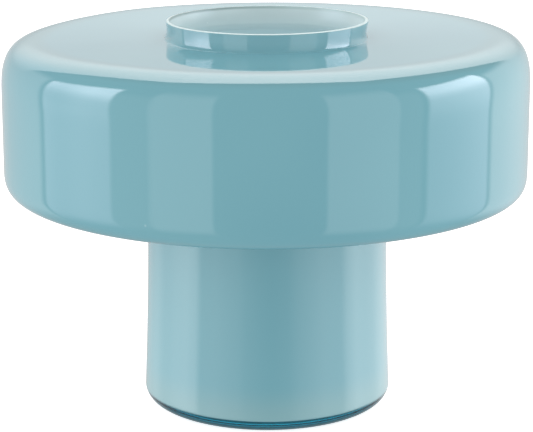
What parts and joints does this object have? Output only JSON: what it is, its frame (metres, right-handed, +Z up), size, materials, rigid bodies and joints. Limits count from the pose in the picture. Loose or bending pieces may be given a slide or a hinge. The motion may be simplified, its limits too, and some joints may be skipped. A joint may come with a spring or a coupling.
{
  "type": "vase",
  "caption": "Low wide blown glass vase: a broad rounded drum on a thick cylindrical stem, open through a short collar, in teal cased glass over opal white.",
  "frame": {"origin": "centre of the flat resting face, under the middle of the vase", "axes": "+Z up along the axis of revolution, towards the mouth; -Y towards the viewer"},
  "size_m": [0.27, 0.27, 0.2011],
  "materials": {
    "opal_glass": "glossy opal white, slightly blue, fire-polished at the lip",
    "teal_cased_glass": "glossy teal blue glass backed by opal, so it reads as opaque",
    "teal_clear_glass": "clear deep teal glass, ground flat underneath"
  },
  "bodies": {
    "root": {"opal_lining": "opal_glass", "colour_casing": "teal_cased_glass", "base_heel": "teal_clear_glass"}
  },
  "joints": []
}
